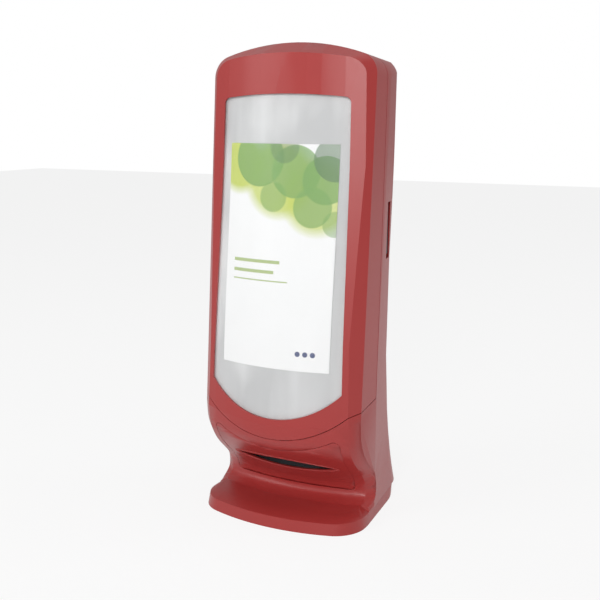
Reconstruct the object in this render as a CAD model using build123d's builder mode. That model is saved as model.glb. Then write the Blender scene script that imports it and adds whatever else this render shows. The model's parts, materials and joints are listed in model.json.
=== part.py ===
from build123d import *
import math
import os

os.makedirs("parts", exist_ok=True)

# Free-standing napkin dispenser tower. X runs right seen from the front, the front faces -Y,
# Z is up from the surface it stands on. All sizes are in millimetres.

width = 235.0
depth = 236.0
height = 621.0
wall = 3.0
front_radius = 272.0      # plan curve of the convex front
tower_half = 115.5        # half width above the foot
band_width = 12.0         # bevelled band along the sides, seen from the front
band_depth = 13.5
band_lean = 0.083         # the band's outer edge leans back this much per mm of height
seam_lean = 0.052         # so does the seam between cover and housing
seam_top_y = -4.2         # where that seam meets the top
seam_gap = 1.0
crown_split = -2.0        # the rear of the top is rounded from here back
arch_radius = 300.0       # top outline
corner_radius = 28.0
front_corner = 6.0
rear_corner = 60.0        # round rear corners, and the half width the sides taper to there
rear_half = 100.0
skirt_height = 15.0
tray_height = 22.0
lean = math.degrees(math.atan(band_lean))

# Front centre line and back of the tower by height: (z, front y, back y).
tower_profile = [
    (skirt_height, -115.0, 116.0),
    (60, -113.0, 98.0),
    (140, -109.5, 78.0),
    (212, -105.5, 70.0),
    (370, -89.5, 75.0),
    (500, -76.5, 83.0),
    (640, -64.0, 92.0),
]


def block(x, y, z):
    """Plain box between two corners per axis, for bosses and clearances."""
    with BuildPart() as solid:
        with BuildSketch(Plane.XY.offset(z[0])):
            with Locations(((x[0] + x[1]) / 2, (y[0] + y[1]) / 2)):
                Rectangle(x[1] - x[0], y[1] - y[0])
        extrude(amount=z[1] - z[0])
    return solid.part


def plan_outline(z, front, back, half, front_round, rear_round, rear_reach, inset=0.0):
    """Horizontal outline: convex front, straight sides, wide round rear corners."""
    side = front + half * half / (2 * front_radius)
    with BuildSketch(Plane.XY.offset(z)) as outline:
        with BuildLine():
            ThreePointArc((-half, side), (0, front), (half, side))
            Polyline((half, side), (half, side + 40), (rear_reach, back), (-rear_reach, back),
                     (-half, side + 40), (-half, side))
        make_face()
        corners = outline.vertices().group_by(Axis.Y)
        fillet(corners[0], front_round)
        fillet(outline.vertices().group_by(Axis.Y)[-1], rear_round)
        if inset:
            offset(amount=-inset, kind=Kind.INTERSECTION)
    return outline.sketch


def tower_form(inset=0.0):
    """The tower from the top of the skirt upwards, before the band and the pocket are cut."""
    with BuildPart() as form:
        for z, front, back in tower_profile:
            add(plan_outline(z, front, back, tower_half + 2.5, front_corner, rear_corner, rear_half, inset))
        loft()
    return form.part


def arch_outline(plane, half, top, radius, corner):
    """Front view of the tower's outline on a leaning plane."""
    drop = half * half / (2 * radius)
    with BuildSketch(plane) as outline:
        with BuildLine():
            ThreePointArc((-half, top - drop), (0, top), (half, top - drop))
            Polyline((half, top - drop), (half, -60), (-half, -60), (-half, top - drop))
        make_face()
        fillet(outline.vertices().group_by(Axis.Y)[-1], corner)
    return outline.sketch


# Plane of the band's outer edge, and the run of the arch along it.
band_foot_y = -88.7
lean_rad = math.radians(lean)
band_plane = Plane(origin=(0, band_foot_y, 0), x_dir=(1, 0, 0),
                   z_dir=(0, -math.cos(lean_rad), math.sin(lean_rad)))
arch_top = height / math.cos(lean_rad)
band_reach = 45.0


def band_envelope(inset=0.0):
    """Keeps the arched top and bevels the band round the front, and softens the rear top."""
    half = tower_half - inset
    top = arch_top - inset
    with BuildPart() as envelope:
        add(arch_outline(band_plane, half, top, arch_radius, corner_radius))
        add(arch_outline(band_plane.offset(band_reach), half - band_reach * band_width / band_depth,
                         top - 24.0, arch_radius, corner_radius * 0.6))
        loft(ruled=True)
        extrude(arch_outline(band_plane, half, top, arch_radius, corner_radius), amount=-260)
    return envelope.part


def crown_height(inward):
    """Height of the top outline at a distance in from its side."""
    x = tower_half - inward
    arch_centre = height - arch_radius
    inner_radius = arch_radius - corner_radius
    centre_x = tower_half - corner_radius
    if x < centre_x * arch_radius / inner_radius:
        return arch_centre + math.sqrt(arch_radius ** 2 - x ** 2)
    centre_z = arch_centre + math.sqrt(inner_radius ** 2 - centre_x ** 2)
    return centre_z + math.sqrt(corner_radius ** 2 - (x - centre_x) ** 2)


crown_front = -67.0
crown_back = 89.5
crown_steps = (0, 0.5, 1.8, 4, 7.5, 12, 19, 30, 46, 64, 84)


def crown_form(inset=0.0):
    """Carries the top's round corner on round the rear, and leaves the front as it is."""
    low = crown_height(0) - inset
    with BuildPart() as crown:
        for step in crown_steps:
            inward = step + inset
            add(plan_outline(crown_height(step) - inset, crown_front, crown_back - inward,
                             tower_half + 1.5 - inward, front_corner, rear_corner - 0.6 * inward, rear_half - inward))
        loft(ruled=True)
    front_keep = block((-150, 150), (-200, crown_split), (-10, height + 40))
    return crown.part + front_keep + block((-150, 150), (-200, 200), (-10, low))


# Pocket under the cover, by side view: (y, z) on the centre line, at the band's inner edge and
# at its outer edge.
pocket_centre = [(-116, 170), (-110.5, 146), (-107, 118), (-97, 100), (-78, 80), (-57, 57),
                 (-46, 42), (-45, 31), (-56, 24)]
pocket_inner = [(-101, 176), (-91, 150), (-87.5, 124), (-79, 103), (-62, 82), (-41, 62),
                (-31, 45), (-32, 30), (-44, 23)]
pocket_outer = [(-84, 180), (-77, 152), (-74, 124), (-65, 103), (-49, 84), (-27, 64),
                (-19, 47), (-21, 31), (-34, 21)]
tray_front = -175.0


def pocket_profile(x, points, floor, shift=0.0):
    """Closed side view of the pocket on the plane at x."""
    curve = [(y + shift, z - shift * 0.2) for y, z in points]
    base = floor - shift
    with BuildSketch(Plane(origin=(x, 0, 0), x_dir=(0, 1, 0), z_dir=(1, 0, 0))) as outline:
        with BuildLine():
            Spline(*curve, (curve[-1][0] - 22, base), tangents=[(0.25, -1), (-1, 0)])
            Polyline((curve[-1][0] - 22, base), (tray_front, base), (tray_front, curve[0][1]), curve[0])
        make_face()
    return outline.sketch


def flare(points_in, points_out):
    """Carries the side view one band width further out than the outer edge."""
    return [(2 * b[0] - a[0], 2 * b[1] - a[1]) for a, b in zip(points_in, points_out)]


def pocket_form(shift=0.0):
    """Everything the hand pocket takes out of the tower's front."""
    inner = tower_half - band_width
    far = tower_half + band_width
    flared = flare(pocket_inner, pocket_outer)
    far_floor = 2 * skirt_height - tray_height
    with BuildPart() as pocket:
        for x, points in ((-inner, pocket_inner), (0, pocket_centre), (inner, pocket_inner)):
            add(pocket_profile(x, points, tray_height, shift))
        loft()
    solid = pocket.part
    for side in (-1, 1):
        with BuildPart() as flank:
            add(pocket_profile(side * inner, pocket_inner, tray_height, shift))
            add(pocket_profile(side * far, flared, far_floor, shift))
            loft(ruled=True)
        solid = solid + flank.part
    return solid


def front_layer(near, far):
    """Curved sheet that lies between two depths behind the convex front."""
    half = 105.0
    with BuildPart() as layer:
        for z, front, _ in tower_profile[1:]:
            side = front + half * half / (2 * front_radius)
            with BuildSketch(Plane.XY.offset(z)):
                with BuildLine():
                    ThreePointArc((-half, side + near), (0, front + near), (half, side + near))
                    Line((half, side + near), (half, side + far))
                    ThreePointArc((half, side + far), (0, front + far), (-half, side + far))
                    Line((-half, side + far), (-half, side + near))
                make_face()
        loft()
    return layer.part


def front_view(outline, depth=90.0):
    """Cuts a front view shape through the front wall only."""
    with BuildPart() as prism:
        extrude(outline, amount=depth)
    return prism.part


front_plane = Plane(origin=(0, -30, 0), x_dir=(1, 0, 0), z_dir=(0, -1, 0))


def rod(start, end, radius):
    """Round bar from one point to another."""
    run = Vector(*end) - Vector(*start)
    with BuildPart() as solid:
        with BuildSketch(Plane(origin=start, z_dir=tuple(run.normalized()))):
            Circle(radius)
        extrude(amount=run.length)
    return solid.part


def save(piece, name):
    """Labels one finished piece and writes it."""
    piece.label = name
    export_step(piece, "parts/" + name + ".step")


def seam_y(z):
    return seam_top_y + seam_lean * (z - height)


# Space that belongs to the cover: above the smile-shaped seam and in front of the leaning one.
smile_rise = 0.13         # the smile's cut climbs this much per mm towards the back
smile_low = 130.3
smile_side = 166.7
smile_half = 103.5
smile_plane = Plane(origin=(0, 0, 0), x_dir=(-1, 0, 0), z_dir=(0, 1, smile_rise))
seam_normal = (0, -math.cos(math.atan(seam_lean)), math.sin(math.atan(seam_lean)))


def cover_zone(gap):
    with BuildPart() as zone:
        with BuildSketch(smile_plane.offset(-200)):
            with BuildLine():
                ThreePointArc((-smile_half, smile_side + gap), (0, smile_low + gap),
                              (smile_half, smile_side + gap))
                Polyline((smile_half, smile_side + gap), (tower_half, smile_side + 3 + gap),
                         (160, smile_side + 3 + gap), (160, 800), (-160, 800),
                         (-160, smile_side + 3 + gap), (-tower_half, smile_side + 3 + gap),
                         (-smile_half, smile_side + gap))
            make_face()
        extrude(amount=460)
        with BuildSketch(Plane(origin=(0, seam_y(0) - gap, 0), x_dir=(1, 0, 0), z_dir=seam_normal)):
            with Locations((0, 400)):
                Rectangle(400, 1000)
        extrude(amount=250, mode=Mode.INTERSECT)
    return zone.part


# Outer shell: tower with band and pocket, standing on the flared foot.
def foot_outline(z, inset=0.0):
    share = z / skirt_height
    return plan_outline(z, -118.0 + 3 * share, 118.0 - 2 * share, width / 2 - 2 * share, 45.0,
                        90.0 - 20 * share, 104.0 - 3 * share, inset)


with BuildPart() as foot_skirt:
    add(foot_outline(0))
    add(foot_outline(skirt_height))
    loft(ruled=True)
with BuildPart() as foot_band:
    add(foot_outline(skirt_height))
    add(plan_outline(tray_height, -95.5, 104.0, tower_half - band_width, 34.0, 60.0, 90.0))
    loft(ruled=True)

tray_clear = block((-150, 150), (-200, -46), (skirt_height - 5, tray_height))
outer_column = (tower_form() & band_envelope() & crown_form()) - pocket_form() - tray_clear
outer_shell = outer_column + foot_skirt.part + foot_band.part

with BuildPart() as foot_hollow:
    add(foot_outline(0, 4.0))
    extrude(amount=9)
    add(foot_outline(0, 17.0))
    extrude(amount=skirt_height + 2)
rim_clear = block((-150, 150), (-200, -34), (0, tray_height - wall))
inner_body = tower_form(wall) & band_envelope(wall) & crown_form(wall)
inner_column = inner_body - pocket_form(wall) - rim_clear
tray_hollow = block((-74, 74), (-74, -30), (0, tray_height - wall))
shell = outer_shell - inner_column - foot_hollow.part - tray_hollow

# Window opening with an arched top and a deep round bottom edge.
def window_outline(grow=0.0):
    with BuildSketch(front_plane) as outline:
        with BuildLine():
            ThreePointArc((-89.5, 552.5), (0, 557.5), (89.5, 552.5))
            Line((89.5, 552.5), (95, 185.5))
            ThreePointArc((95, 185.5), (0, 145.5), (-95, 185.5))
            Line((-95, 185.5), (-89.5, 552.5))
        make_face()
        fillet(outline.vertices().group_by(Axis.Y)[-1], 8)
        if grow:
            offset(amount=grow)
    return outline.sketch


hinge_y = seam_y(height)
hinge_z = 612.8
hinge_radius = 4.5
hinge_half = 38.0
hinge_clear = block((-hinge_half - 1, hinge_half + 1), (hinge_y - 9, hinge_y + 9), (600, 640))
swing_gap = block((-85, 85), (hinge_y - 2, hinge_y + 3.6), (603, 640))
front_cover = (shell & cover_zone(seam_gap / 2)) - front_view(window_outline(0)) - hinge_clear
save(front_cover, "front_cover")
save(front_layer(0.7, 2.7) & front_view(window_outline(-0.3)), "display_window")
save(front_layer(3.9, 5.4) & front_view(window_outline(5)), "display_backing")

with BuildSketch(front_plane) as poster_shape:
    with Locations((0, 354)):
        Rectangle(155, 284)
save(front_layer(3.0, 3.6) & front_view(poster_shape.sketch), "poster_insert")


# Inset faceplate round the slot, and the opening it fills.
def plate_outline(grow=0.0):
    with BuildSketch(front_plane) as outline:
        with BuildLine():
            ThreePointArc((-93, 128), (0, 101), (93, 128))
            Polyline((93, 128), (90, 37), (-90, 37), (-93, 128))
        make_face()
        fillet(outline.vertices(), 7)
        if grow:
            offset(amount=grow)
    return outline.sketch


with BuildSketch(front_plane) as slot_shape:
    with BuildLine():
        Spline((-77, 77.5), (-40, 79), (0, 81.5), (40, 79), (75, 74))
        Spline((75, 74), (40, 68), (0, 66.5), (-40, 70), (-77, 77.5))
    make_face()
slot_cut = front_view(slot_shape.sketch)
plate_skin = (pocket_form(5.2) - pocket_form(0.0)) & front_view(plate_outline(-0.35))
plate_rim = (pocket_form(5.2) - pocket_form(3.4)) & front_view(plate_outline(4.5))
save((plate_skin + plate_rim) - slot_cut, "dispensing_faceplate")

housing_cuts = front_view(plate_outline(0.35)) & pocket_form(8.0)
latch_z = (347.0, 421.0)
recess = block((96, 130), (8, 24), latch_z)
main_housing = (shell - cover_zone(-seam_gap / 2)) - housing_cuts - recess - hinge_clear - swing_gap
save(main_housing, "main_housing")

# Rails that hold the grey backing and the poster against the window.
for side, name in ((-1, "backing_rail_left"), (1, "backing_rail_right")):
    rail = block(sorted((side * 91, side * 98)), (-140, 20), (230, 520))
    save(front_layer(5.6, 8.6) & rail, name)

# Napkin magazine: leaning channel with two sides, a back and front lips.
stack_width = 167.0
stack_depth = 110.0
sheet = 1.6
magazine_y = -41.6        # middle of the stack, carried down to the floor
magazine_low = 130.0
magazine_high = 525.0


def magazine_plane(s):
    """Plane square to the leaning stack, s along it from the floor."""
    return Plane(origin=(0, magazine_y + s * math.sin(lean_rad), s * math.cos(lean_rad)),
                 x_dir=(1, 0, 0), z_dir=(0, math.sin(lean_rad), math.cos(lean_rad)))


def leaning_block(x, y, s):
    """Box between two corners per axis, in the magazine's leaning frame."""
    with BuildPart() as solid:
        with BuildSketch(magazine_plane(s[0])):
            with Locations(((x[0] + x[1]) / 2, (y[0] + y[1]) / 2)):
                Rectangle(x[1] - x[0], y[1] - y[0])
        extrude(amount=s[1] - s[0])
    return solid.part


half_stack = stack_width / 2
half_depth = stack_depth / 2
magazine_span = (magazine_low, magazine_high)
for side, name in ((-1, "magazine_side_left"), (1, "magazine_side_right")):
    plate = leaning_block(sorted((side * half_stack, side * (half_stack + sheet))),
                          (-half_depth, half_depth), magazine_span)
    lip = leaning_block(sorted((side * (half_stack - 10), side * (half_stack + sheet))),
                        (-half_depth - sheet, -half_depth), magazine_span)
    save(plate + lip, name)
save(leaning_block((-81, 81), (half_depth + 0.5, half_depth + 2.5), magazine_span), "magazine_back")
for side, name in ((-1, "magazine_bracket_left"), (1, "magazine_bracket_right")):
    inner_x = side * (half_stack + sheet + 0.2)
    low_arm = block(sorted((inner_x, side * 109)), (-20, -8), (212, 222))
    high_arm = block(sorted((inner_x, side * 109)), (-4, 8), (492, 502))
    spine = leaning_block(sorted((inner_x, inner_x + side * 3)), (0, 14), (205, 505))
    save(low_arm + spine + high_arm, name)

# Weighted follower that presses the stack down to the throat.
follower_low = 135.0
follower_frame = (follower_low, follower_low + 3)
plate_x = half_stack - 3.5
save(leaning_block((-plate_x, plate_x), (-50, 50), follower_frame), "follower_plate")
save(leaning_block((-58, 58), (-34, 34), (follower_low + 3, follower_low + 15)), "follower_weight")
shoes = [leaning_block(sorted((side * plate_x, side * (half_stack - 0.4))), (y - 7, y + 7),
                       (follower_low, follower_low + 12)) for side in (-1, 1) for y in (-36, 36)]
save(Compound(children=shoes), "follower_shoes")
grip_low = follower_low + 15
grip_bar = leaning_block((-38, 38), (-6, 6), (grip_low + 18, grip_low + 24))
grip_posts = [leaning_block((x - 4, x + 4), (-6, 6), (grip_low, grip_low + 18)) for x in (-34, 34)]
save(grip_bar + grip_posts[0] + grip_posts[1], "follower_grip")
stops = [leaning_block(sorted((side * (half_stack - 6), side * (half_stack - 0.1))), (y - 8, y + 8),
                       (magazine_low, magazine_low + 4)) for side in (-1, 1) for y in (-36, 36)]
save(Compound(children=stops), "follower_stops")

# Ribbed throat that leads the lowest napkin to the slot.
throat_half = 80.0
throat_outer = [(-86, 127), (20, 123), (20, 119), (-50, 60.5), (-75, 57), (-75, 80), (-68, 88)]
throat_inner = [(-83.5, 130), (18, 126), (18, 120), (-50.5, 63), (-90, 57.5), (-90, 80), (-66, 89.5)]


def side_view(points, half, x_offset=0.0):
    """Solid with a straight-sided side view, from side to side."""
    with BuildPart() as solid:
        with BuildSketch(Plane(origin=(x_offset, 0, 0), x_dir=(0, 1, 0), z_dir=(1, 0, 0))):
            Polygon(*points, align=None)
        extrude(amount=half, both=True)
    return solid.part


throat = side_view(throat_outer, throat_half) - side_view(throat_inner, throat_half - 2)
for count in range(-4, 5):
    throat = throat + side_view([(17, 119.5), (17, 123), (-40, 75.5), (-46, 66.5)], 0.9, count * 17.0)
save(throat - pocket_form(6.2), "throat_guide")

# Hinge along the top: two leaves, five knuckles and a pin.
pin_radius = 2.0
bore_radius = 2.05
leaf_z = (603.5, 609.5)


def hinge_leaf(spans, leaf_y):
    """One leaf with its knuckles round the pin."""
    leaf = block((-36, 36), leaf_y, leaf_z)
    for start, end in spans:
        knuckle = rod((start, hinge_y, hinge_z), (end, hinge_y, hinge_z), hinge_radius)
        link = block((start, end), sorted((hinge_y, (leaf_y[0] + leaf_y[1]) / 2)), (606.5, 611.0))
        leaf = leaf + knuckle + link
    return leaf - rod((-40, hinge_y, hinge_z), (40, hinge_y, hinge_z), bore_radius)


save(hinge_leaf(((-36, -22), (-7, 7), (22, 36)), (hinge_y + 9.5, hinge_y + 34)), "hinge_leaf_housing")
save(hinge_leaf(((-21.7, -7.3), (7.3, 21.7)), (hinge_y - 31, hinge_y - 9.5)), "hinge_leaf_cover")
save(rod((-37.5, hinge_y, hinge_z), (37.5, hinge_y, hinge_z), pin_radius), "hinge_pin")
for name, y in (("hinge_screws_housing", hinge_y + 24), ("hinge_screws_cover", hinge_y - 21)):
    heads = [rod((x, y, leaf_z[0]), (x, y, leaf_z[0] - 2.2), 3.6) for x in (-26, 0, 26)]
    save(Compound(children=heads), name)

# Pull latch in the side recess, on an upright pin, with a hook that reaches the cover's keeper.
latch_x = 103.0
latch_y = 4.0
latch_middle = sum(latch_z) / 2
hub = rod((latch_x, latch_y, latch_z[0] - 10), (latch_x, latch_y, latch_z[1] + 10), hinge_radius)
paddle = block((104.5, 107.5), (6.5, 23), (latch_z[0] + 5, latch_z[1] - 5))
arm = block((101.5, 104.5), (-40, 2), (latch_middle - 12, latch_middle + 12))
nose = block((104.4, 105.0), (-40, -36.5), (latch_middle - 12, latch_middle + 12))
bore = rod((latch_x, latch_y, 300), (latch_x, latch_y, 460), bore_radius)
save((hub + paddle + arm + nose) - bore, "latch_paddle")
lug_low = block((98, 107.5), (-1, 9), (latch_z[0] - 17, latch_z[0] - 11))
lug_high = block((98, 107.5), (-1, 9), (latch_z[1] + 11, latch_z[1] + 17))
save(Compound(children=[lug_low - bore, lug_high - bore]), "latch_lugs")
save(rod((latch_x, latch_y, latch_z[0] - 17), (latch_x, latch_y, latch_z[1] + 17), pin_radius), "latch_pin")
save(block((105.5, 112.2), (-34, -29), (latch_middle - 16, latch_middle + 16)), "cover_keeper")
coils = []
for turn in range(6):
    with BuildPart(Plane(origin=(latch_x, latch_y, latch_z[0] - 8 + 1.6 * turn))) as coil:
        Torus(5.6, 0.6)
    coils.append(coil.part)
save(Compound(children=coils), "latch_spring")

# Underside: closing plate, steel ballast, rubber feet and screws.
plate_low = 6.4
plate_high = 8.8
screw_spots = [(-106, -20), (106, -20), (-60, -97), (60, -97), (-58, 95), (58, 95)]
with BuildPart() as base_plate:
    add(foot_outline(0, 5.0))
    extrude(amount=plate_high - plate_low)
closing_plate = base_plate.part.moved(Location((0, 0, plate_low)))
for x, y in screw_spots:
    closing_plate = closing_plate - rod((x, y, 0), (x, y, 20), 2.3)
save(closing_plate, "base_plate")
with BuildPart() as ballast:
    with BuildSketch(Plane.XY.offset(plate_high + 0.2)):
        with Locations((0, -4)):
            RectangleRounded(150, 150, 12)
    extrude(amount=8)
save(ballast.part, "ballast_plate")
feet = [rod((x, y, 0), (x, y, plate_low), 10) for x, y in ((-78, -68), (78, -68), (-62, 78), (62, 78))]
save(Compound(children=feet), "rubber_feet")
heads = [rod((x, y, plate_low), (x, y, plate_low - 2.4), 4.0) for x, y in screw_spots]
save(Compound(children=heads), "base_screws")
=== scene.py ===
import bpy
import json
from math import radians
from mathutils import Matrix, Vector


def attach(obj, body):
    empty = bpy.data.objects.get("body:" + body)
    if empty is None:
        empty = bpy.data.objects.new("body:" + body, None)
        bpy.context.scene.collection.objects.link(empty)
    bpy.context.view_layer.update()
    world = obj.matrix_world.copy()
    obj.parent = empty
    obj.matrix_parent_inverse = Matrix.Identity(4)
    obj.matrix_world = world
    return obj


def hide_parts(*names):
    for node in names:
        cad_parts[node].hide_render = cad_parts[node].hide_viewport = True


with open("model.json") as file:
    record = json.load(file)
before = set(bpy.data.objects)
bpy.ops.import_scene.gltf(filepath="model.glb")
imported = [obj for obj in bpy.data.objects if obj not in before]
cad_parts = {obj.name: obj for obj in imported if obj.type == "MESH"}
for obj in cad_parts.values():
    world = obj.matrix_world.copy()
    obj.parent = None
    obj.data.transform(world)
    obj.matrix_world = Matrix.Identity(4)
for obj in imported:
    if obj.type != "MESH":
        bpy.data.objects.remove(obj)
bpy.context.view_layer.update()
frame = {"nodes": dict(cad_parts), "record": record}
nodes = frame["nodes"]
scene = bpy.context.scene
print("frame loaded:", len(nodes), "nodes")


class Sock:
    # wraps one output socket, so shader maths reads like ordinary maths
    def __init__(self, tree, socket):
        self.tree = tree
        self.socket = socket

    def maths(self, operation, other, clamp=False):
        return addNode(self.tree, "ShaderNodeMath", {"operation": operation, "use_clamp": clamp},
                       {0: self, 1: other})

    def swapped(self, operation, other):  # the same, with this socket second
        return addNode(self.tree, "ShaderNodeMath", {"operation": operation}, {0: other, 1: self})

    def __add__(self, other):
        return self.maths("ADD", other)

    def __radd__(self, other):
        return self.maths("ADD", other)

    def __sub__(self, other):
        return self.maths("SUBTRACT", other)

    def __rsub__(self, other):
        return self.swapped("SUBTRACT", other)

    def __mul__(self, other):
        return self.maths("MULTIPLY", other)

    def __rmul__(self, other):
        return self.maths("MULTIPLY", other)

    def __truediv__(self, other):
        return self.maths("DIVIDE", other)

    def __rtruediv__(self, other):
        return self.swapped("DIVIDE", other)

    def __pow__(self, other):
        return self.maths("POWER", other)

    def __rpow__(self, other):
        return self.swapped("POWER", other)

    def clamped(self):
        return self.maths("ADD", 0.0, clamp=True)


def addNode(tree, kind, settings=None, inputs=None, output=0):
    # one way to add any node: its settings first, then values or links for its sockets
    node = tree.nodes.new(kind)
    for name, value in (settings or {}).items():
        setattr(node, name, value)
    for name, value in (inputs or {}).items():
        fillSocket(tree, node.inputs[name], value)
    return Sock(tree, node.outputs[output])


def fillSocket(tree, target, value):
    # a link, a colour of three channels, or a plain value
    if isinstance(value, Sock):
        tree.links.new(value.socket, target)
    elif isinstance(value, tuple) and target.type == "RGBA":
        target.default_value = (*value, 1.0)
    else:
        target.default_value = value


def mixColour(tree, share, first, second):
    # colours go through a Mix node, whose colour sockets are numbers 6 and 7
    return addNode(tree, "ShaderNodeMix", {"data_type": "RGBA"}, {0: share, 6: first, 7: second}, 2)


def newMaterial(name):
    material = bpy.data.materials.new(name)
    material.use_nodes = True
    return material, material.node_tree


def setShader(tree, socket, value):
    fillSocket(tree, tree.nodes["Principled BSDF"].inputs[socket], value)


def objectPlace(tree):
    return addNode(tree, "ShaderNodeTexCoord", output=3)


def noise(tree, place, scale, detail=2.0, roughness=0.5):
    return addNode(tree, "ShaderNodeTexNoise", None,
                   {"Vector": place, "Scale": scale, "Detail": detail, "Roughness": roughness})


def stretched(tree, place, scale):
    return addNode(tree, "ShaderNodeMapping", None, {"Vector": place, "Scale": scale})


def bump(tree, height, strength, distance):
    return addNode(tree, "ShaderNodeBump", None,
                   {"Height": height, "Strength": strength, "Distance": distance})


def lightRays(tree, *kinds):
    # 1 where a ray is of one of these kinds
    outputs = addNode(tree, "ShaderNodeLightPath").socket.node.outputs
    seen = Sock(tree, outputs[kinds[0]])
    for kind in kinds[1:]:
        seen = seen.maths("MAXIMUM", Sock(tree, outputs[kind]))
    return seen


# Moulded red plastic: satin, finely textured, a little warmer and duller in broad patches
redLook = {"colour": (0.365, 0.030, 0.028), "patchColour": (0.400, 0.037, 0.034), "patchScale": 9.0,
           "patchDetail": 3.0, "roughness": 0.36, "roughnessSpread": 0.08, "grainScale": 1900.0,
           "grainStrength": 0.22, "grainDepth": 0.00004, "scuffScale": 140.0, "scuffDetail": 4.0,
           "scuffRoughness": 0.65, "coverTone": 1.02, "faceplateTone": 0.98}


def redPlastic(name, tone=1.0):
    material, tree = newMaterial(name)
    place = objectPlace(tree)
    patches = noise(tree, place, redLook["patchScale"], redLook["patchDetail"])
    base = tuple(channel * tone for channel in redLook["colour"])
    patch = tuple(channel * tone for channel in redLook["patchColour"])
    setShader(tree, "Base Color", mixColour(tree, patches, base, patch))
    scuffs = noise(tree, place, redLook["scuffScale"], redLook["scuffDetail"], redLook["scuffRoughness"])
    setShader(tree, "Roughness", redLook["roughness"] + (scuffs - 0.5) * redLook["roughnessSpread"])
    grain = noise(tree, place, redLook["grainScale"])
    setShader(tree, "Normal", bump(tree, grain, redLook["grainStrength"], redLook["grainDepth"]))
    return material


# Dark grey inner mouldings
innerLook = {"colour": (0.052, 0.055, 0.060), "wornColour": (0.085, 0.088, 0.094), "wearScale": 60.0,
             "wearDetail": 4.0, "wearRoughness": 0.6, "roughness": 0.5, "roughnessSpread": 0.2,
             "grainScale": 1500.0, "grainStrength": 0.3, "grainDepth": 0.00005}


def innerPlastic():
    material, tree = newMaterial("innerGreyPlastic")
    place = objectPlace(tree)
    wear = noise(tree, place, innerLook["wearScale"], innerLook["wearDetail"], innerLook["wearRoughness"])
    setShader(tree, "Base Color", mixColour(tree, wear, innerLook["colour"], innerLook["wornColour"]))
    setShader(tree, "Roughness", innerLook["roughness"] + (wear - 0.5) * innerLook["roughnessSpread"])
    grain = noise(tree, place, innerLook["grainScale"])
    setShader(tree, "Normal", bump(tree, grain, innerLook["grainStrength"], innerLook["grainDepth"]))
    return material


# Clear polycarbonate pane, with faint upright smears
paneLook = {"tint": (0.93, 0.95, 0.95), "alpha": 0.05, "roughness": 0.10, "smearStretch": (30.0, 30.0, 6.0),
            "smearDetail": 3.0, "smearRoughness": 0.05, "smearAlpha": 0.03}


def clearPane():
    material, tree = newMaterial("clearPane")
    smears = noise(tree, stretched(tree, objectPlace(tree), paneLook["smearStretch"]), 1.0,
                   paneLook["smearDetail"])
    setShader(tree, "Base Color", paneLook["tint"])
    setShader(tree, "Roughness", paneLook["roughness"] + smears * paneLook["smearRoughness"])
    setShader(tree, "Alpha", paneLook["alpha"] + smears * paneLook["smearAlpha"])
    return material


# Light grey sheet behind the pane, with the soft upright shades that show through it
backingLook = {"colour": (0.70, 0.705, 0.71), "shade": (0.56, 0.565, 0.57), "light": (0.82, 0.825, 0.825),
               "columnStretch": (26.0, 4.0, 3.0), "columnStart": 0.42, "columnContrast": 3.5,
               "cloudStretch": (16.0, 6.0, 9.0), "cloudContrast": 3.0, "roughness": 0.55,
               "roughnessSpread": 0.1}


def backingSheet():
    material, tree = newMaterial("greyBacking")
    place = objectPlace(tree)
    columns = noise(tree, stretched(tree, place, backingLook["columnStretch"]), 1.0)
    cloud = noise(tree, stretched(tree, place, backingLook["cloudStretch"]), 1.0)
    columnShare = ((columns - backingLook["columnStart"]) * backingLook["columnContrast"]).clamped()
    cloudShare = ((cloud - 0.5) * backingLook["cloudContrast"]).clamped()
    shaded = mixColour(tree, columnShare, backingLook["shade"], backingLook["colour"])
    setShader(tree, "Base Color", mixColour(tree, cloudShare, shaded, backingLook["light"]))
    setShader(tree, "Roughness", backingLook["roughness"] + (cloud - 0.5) * backingLook["roughnessSpread"])
    return material


# Printed card: soft overlapping discs in greens above, plain bars and dots below
posterLook = {
    "paper": (0.97, 0.97, 0.97), "paperCool": (0.93, 0.96, 0.97), "lime": (0.56, 0.66, 0.045),
    "midGreen": (0.145, 0.36, 0.035), "deepGreen": (0.040, 0.155, 0.030), "barGreen": (0.33, 0.46, 0.07),
    "dotBlue": (0.04, 0.06, 0.19), "barStrength": 0.85, "printEdge": 0.0004, "dotRadius": 0.0034,
    "hazeScale": 24.0, "hazeShare": 0.25, "roughness": 0.42, "roughnessSpread": 0.06,
    "discs": [  # metres across and up from the floor, radius, colour, strength, softness of the edge
        (-0.060, 0.470, 0.034, "lime", 0.95, 0.012), (0.000, 0.452, 0.046, "lime", 0.85, 0.014),
        (0.052, 0.430, 0.044, "lime", 0.80, 0.014), (-0.030, 0.478, 0.036, "midGreen", 0.85, 0.0012),
        (0.022, 0.462, 0.033, "midGreen", 0.80, 0.0012), (0.062, 0.452, 0.030, "midGreen", 0.85, 0.0012),
        (0.046, 0.418, 0.025, "midGreen", 0.70, 0.0012), (-0.008, 0.430, 0.019, "midGreen", 0.60, 0.0012),
        (0.074, 0.478, 0.028, "deepGreen", 0.70, 0.0012), (0.006, 0.492, 0.020, "deepGreen", 0.45, 0.0012),
        (0.076, 0.398, 0.016, "midGreen", 0.55, 0.0012)],
    "bars": [  # left, right, low, high
        (-0.0645, 0.0060, 0.3455, 0.3500), (-0.0645, -0.0020, 0.3325, 0.3370),
        (-0.0645, 0.0180, 0.3225, 0.3245)],
    "dots": [(0.036, 0.234), (0.046, 0.234), (0.056, 0.234)]}  # across, up from the floor


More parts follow.
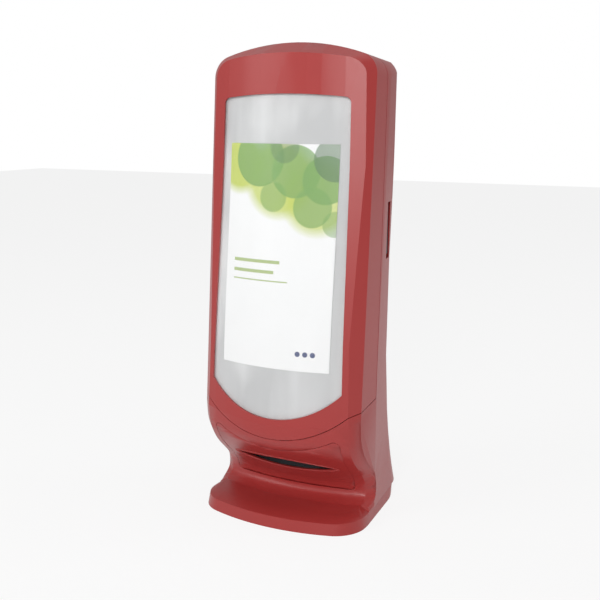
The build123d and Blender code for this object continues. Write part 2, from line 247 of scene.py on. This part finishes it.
def posterPrint():
    material, tree = newMaterial("posterPrint")
    place = objectPlace(tree)
    axes = addNode(tree, "ShaderNodeSeparateXYZ", None, {0: place}).socket.node.outputs
    across, up = Sock(tree, axes["X"]), Sock(tree, axes["Z"])

    def disc(x, z, radius, softness):
        reach = ((across - x) ** 2 + (up - z) ** 2) ** 0.5
        return ((radius - reach) / softness + 0.5).clamped()

    def rectangle(left, right, low, high):
        edge = posterLook["printEdge"]
        sides = ((across - left) / edge).clamped() * ((right - across) / edge).clamped()
        return sides * ((up - low) / edge).clamped() * ((high - up) / edge).clamped()

    haze = noise(tree, place, posterLook["hazeScale"])
    colour = mixColour(tree, haze * posterLook["hazeShare"], posterLook["paper"], posterLook["paperCool"])
    for x, z, radius, tint, strength, softness in posterLook["discs"]:
        colour = mixColour(tree, disc(x, z, radius, softness) * strength, colour, posterLook[tint])
    for left, right, low, high in posterLook["bars"]:
        share = rectangle(left, right, low, high) * posterLook["barStrength"]
        colour = mixColour(tree, share, colour, posterLook["barGreen"])
    for x, z in posterLook["dots"]:
        share = disc(x, z, posterLook["dotRadius"], posterLook["printEdge"])
        colour = mixColour(tree, share, colour, posterLook["dotBlue"])
    setShader(tree, "Base Color", colour)
    setShader(tree, "Roughness", posterLook["roughness"] + (haze - 0.5) * posterLook["roughnessSpread"])
    return material


# Plated steel, drawn along X
steelLook = {"dark": (0.50, 0.50, 0.51), "light": (0.64, 0.64, 0.65), "streakStretch": (60.0, 900.0, 900.0),
             "streakDetail": 3.0, "roughness": 0.28, "roughnessSpread": 0.16}


def platedSteel():
    material, tree = newMaterial("platedSteel")
    streaks = noise(tree, stretched(tree, objectPlace(tree), steelLook["streakStretch"]), 1.0,
                    steelLook["streakDetail"])
    setShader(tree, "Metallic", 1.0)
    setShader(tree, "Base Color", mixColour(tree, streaks, steelLook["dark"], steelLook["light"]))
    setShader(tree, "Roughness", steelLook["roughness"] + streaks * steelLook["roughnessSpread"])
    return material


# Dark painted iron, with a cast surface
ironLook = {"dark": (0.055, 0.056, 0.060), "light": (0.090, 0.090, 0.094), "castScale": 260.0,
            "castDetail": 4.0, "roughness": 0.5, "roughnessSpread": 0.2, "castStrength": 0.5,
            "castDepth": 0.0003}


def paintedIron():
    material, tree = newMaterial("paintedIron")
    cast = noise(tree, objectPlace(tree), ironLook["castScale"], ironLook["castDetail"])
    setShader(tree, "Base Color", mixColour(tree, cast, ironLook["dark"], ironLook["light"]))
    setShader(tree, "Roughness", ironLook["roughness"] + cast * ironLook["roughnessSpread"])
    setShader(tree, "Normal", bump(tree, cast, ironLook["castStrength"], ironLook["castDepth"]))
    return material


# Black rubber, a little dusty
rubberLook = {"clean": (0.020, 0.020, 0.021), "dusty": (0.045, 0.044, 0.043), "dustScale": 180.0,
              "dustDetail": 4.0, "roughness": 0.75, "roughnessSpread": 0.15}


def footRubber():
    material, tree = newMaterial("footRubber")
    dust = noise(tree, objectPlace(tree), rubberLook["dustScale"], rubberLook["dustDetail"])
    setShader(tree, "Base Color", mixColour(tree, dust, rubberLook["clean"], rubberLook["dusty"]))
    setShader(tree, "Roughness", rubberLook["roughness"] + (dust - 0.5) * rubberLook["roughnessSpread"])
    return material


finishes = {"housing_red": redPlastic("housingRed"),
            "cover_red": redPlastic("coverRed", redLook["coverTone"]),
            "faceplate_red": redPlastic("faceplateRed", redLook["faceplateTone"]),
            "window_clear": clearPane(), "backing_grey": backingSheet(), "poster_print": posterPrint(),
            "inner_grey": innerPlastic(), "steel": platedSteel(), "ballast_iron": paintedIron(),
            "rubber": footRubber()}
nodeSlots = {part["node"]: part["material_slot"] for part in frame["record"]["subparts"]}
for name, node in nodes.items():
    node.data.materials.clear()
    node.data.materials.append(finishes[nodeSlots[name]])
print("materials made:", len(finishes))


# Moulded pieces keep their CAD form: close points are merged, the flat faces of the thick shells are
# joined, and the shading runs clean over the curves
shellLook = {"mergeDistance": 0.00035, "smoothAngle": 30.0, "normalWeight": 100}
shellNodes = {  # CAD node: name of the piece, and the angle up to which its flat faces are joined
    "main_housing": ("housingShell", 2.0), "front_cover": ("coverShell", 2.0),
    "dispensing_faceplate": ("slotFaceplate", 3.0), "display_window": ("windowPane", 0.0),
    "display_backing": ("backingSheet", 0.0), "poster_insert": ("posterCard", 0.0),
    "throat_guide": ("ribbedThroat", 0.0)}
bodyMembers = frame["record"]["behaviour"]["bodies"]


def dressShell(nodeName, pieceName, flatAngle):
    piece = bpy.data.objects.new(pieceName, nodes[nodeName].data.copy())
    scene.collection.objects.link(piece)
    bpy.ops.object.select_all(action="DESELECT")
    piece.select_set(True)
    bpy.context.view_layer.objects.active = piece
    bpy.ops.object.mode_set(mode="EDIT")
    bpy.ops.mesh.select_all(action="SELECT")
    bpy.ops.mesh.remove_doubles(threshold=shellLook["mergeDistance"])
    bpy.ops.mesh.dissolve_degenerate(threshold=shellLook["mergeDistance"])
    if flatAngle > 0:  # thin sheets keep every face, or they would cut into each other
        bpy.ops.mesh.dissolve_limited(angle_limit=radians(flatAngle))
    bpy.ops.object.mode_set(mode="OBJECT")
    bpy.ops.object.shade_smooth_by_angle(angle=radians(shellLook["smoothAngle"]))
    evenOut = piece.modifiers.new("evenNormals", "WEIGHTED_NORMAL")
    evenOut.mode = "FACE_AREA"
    evenOut.weight = shellLook["normalWeight"]
    evenOut.keep_sharp = True
    bpy.ops.object.modifier_apply(modifier=evenOut.name)
    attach(piece, next(body for body, members in bodyMembers.items() if nodeName in members))
    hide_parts(nodeName)


for nodeName, (pieceName, flatAngle) in shellNodes.items():
    dressShell(nodeName, pieceName, flatAngle)
print("shells dressed:", len(shellNodes))


# Raised bead round the slot, laid on the faceplate's curve
ridgeLook = {"halfLength": 0.0785, "halfHeight": 0.0088, "middle": 0.0745, "tilt": -0.022, "bead": 0.0008,
             "beadSteps": 3, "points": 96, "pointed": 1.35, "startsAt": -0.118}


def slotRidge(faceplate):
    bpy.ops.object.select_all(action="DESELECT")
    bpy.ops.mesh.primitive_circle_add(vertices=ridgeLook["points"], radius=1.0, location=(0, 0, 0))
    ridge = bpy.context.object
    ridge.name = "slotRidge"
    for vertex in ridge.data.vertices:  # the circle becomes a lens, a little pointed at its ends
        across, up = vertex.co.x, vertex.co.y
        rise = abs(up) ** ridgeLook["pointed"] * (1 if up > 0 else -1)
        x = across * ridgeLook["halfLength"]
        z = ridgeLook["middle"] + x * ridgeLook["tilt"] + rise * ridgeLook["halfHeight"]
        vertex.co = (x, ridgeLook["startsAt"], z)
    lay = ridge.modifiers.new("layOnPlate", "SHRINKWRAP")
    lay.target = faceplate
    lay.wrap_method = "PROJECT"
    lay.use_project_x = False
    lay.use_project_y = True
    lay.use_project_z = False
    lay.use_positive_direction = True
    lay.use_negative_direction = False
    bpy.ops.object.modifier_apply(modifier=lay.name)
    bpy.ops.object.convert(target="CURVE")
    ridge.data.bevel_depth = ridgeLook["bead"]
    ridge.data.bevel_resolution = ridgeLook["beadSteps"]
    bpy.ops.object.convert(target="MESH")
    bpy.ops.object.shade_smooth()
    ridge.data.materials.clear()
    ridge.data.materials.append(finishes["faceplate_red"])
    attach(ridge, "housing")


slotRidge(bpy.data.objects["slotFaceplate"])
print("slot ridge laid")


# Floor, soft lamps and the camera
stageLook = {"floorSize": 12.0, "floorColour": (0.92, 0.92, 0.92), "floorLift": 1.01, "floorScale": 3.0,
             "floorRoughness": 0.9, "floorSpecular": 0.1, "whiteShare": 0.85, "ambient": 0.25,
             "backdrop": 0.75, "mirrored": 0.30}
lamps = {  # place, aims at, width, height, watts
    "keyLamp": ((-1.6, -1.9, 1.5), (0.0, 0.0, 0.32), 1.2, 1.8, 19.0),
    "fillLamp": ((0.75, -2.3, 1.3), (0.05, 0.0, 0.5), 0.8, 1.2, 29.0),
    "rimLamp": ((2.2, 1.2, 1.2), (0.0, 0.0, 0.45), 1.0, 1.4, 10.0),
    "topLamp": ((0.1, 0.2, 2.6), (0.0, 0.0, 0.3), 1.8, 1.8, 7.0)}
cameraLook = {"place": (0.5582, -1.1057, 0.5328), "turn": 27.22, "dip": 11.389, "focalPixels": 924.4,
              "imagePixels": 600, "sensor": 36.0}


def stageFloor():
    bpy.ops.object.select_all(action="DESELECT")
    bpy.ops.mesh.primitive_plane_add(size=stageLook["floorSize"], location=(0, 0, 0))
    floor = bpy.context.object
    floor.name = "paleFloor"
    material, tree = newMaterial("paleFloor")
    patches = noise(tree, objectPlace(tree), stageLook["floorScale"])
    lifted = tuple(channel * stageLook["floorLift"] for channel in stageLook["floorColour"])
    setShader(tree, "Base Color", mixColour(tree, patches, stageLook["floorColour"], lifted))
    setShader(tree, "Roughness", stageLook["floorRoughness"])
    setShader(tree, "Specular IOR Level", stageLook["floorSpecular"])
    plain = Sock(tree, tree.nodes["Principled BSDF"].outputs[0])
    white = addNode(tree, "ShaderNodeEmission", None, {"Color": (1.0, 1.0, 1.0), "Strength": 1.0})
    seen = lightRays(tree, "Is Camera Ray", "Is Glossy Ray", "Is Transmission Ray")
    share = seen * stageLook["whiteShare"]
    blend = addNode(tree, "ShaderNodeMixShader", None, {0: share, 1: plain, 2: white})
    tree.links.new(blend.socket, tree.nodes["Material Output"].inputs["Surface"])
    floor.data.materials.append(material)


def stageWorld():
    world = bpy.data.worlds.new("softStudio")
    scene.world = world
    world.use_nodes = True
    tree = world.node_tree
    background = tree.nodes["Background"]
    background.inputs["Color"].default_value = (1.0, 1.0, 1.0, 1.0)
    seen = lightRays(tree, "Is Camera Ray", "Is Transmission Ray") * stageLook["backdrop"]
    strength = stageLook["ambient"] + seen + lightRays(tree, "Is Glossy Ray") * stageLook["mirrored"]
    tree.links.new(strength.socket, background.inputs["Strength"])


def stageLamps():
    for name, (place, target, wide, tall, watts) in lamps.items():
        light = bpy.data.lights.new(name, "AREA")
        light.shape = "RECTANGLE"
        light.size = wide
        light.size_y = tall
        light.energy = watts
        lamp = bpy.data.objects.new(name, light)
        scene.collection.objects.link(lamp)
        lamp.location = place
        lamp.rotation_euler = (Vector(target) - Vector(place)).to_track_quat("-Z", "Y").to_euler()


def stageCamera():
    data = bpy.data.cameras.new("photoCamera")
    data.sensor_width = cameraLook["sensor"]
    data.lens = cameraLook["focalPixels"] * cameraLook["sensor"] / cameraLook["imagePixels"]
    camera = bpy.data.objects.new("photoCamera", data)
    scene.collection.objects.link(camera)
    camera.location = cameraLook["place"]
    camera.rotation_euler = (radians(90 - cameraLook["dip"]), 0, radians(cameraLook["turn"]))
    scene.camera = camera


stageFloor()
stageWorld()
stageLamps()
stageCamera()
scene.view_settings.view_transform = "Standard"
print("stage set")
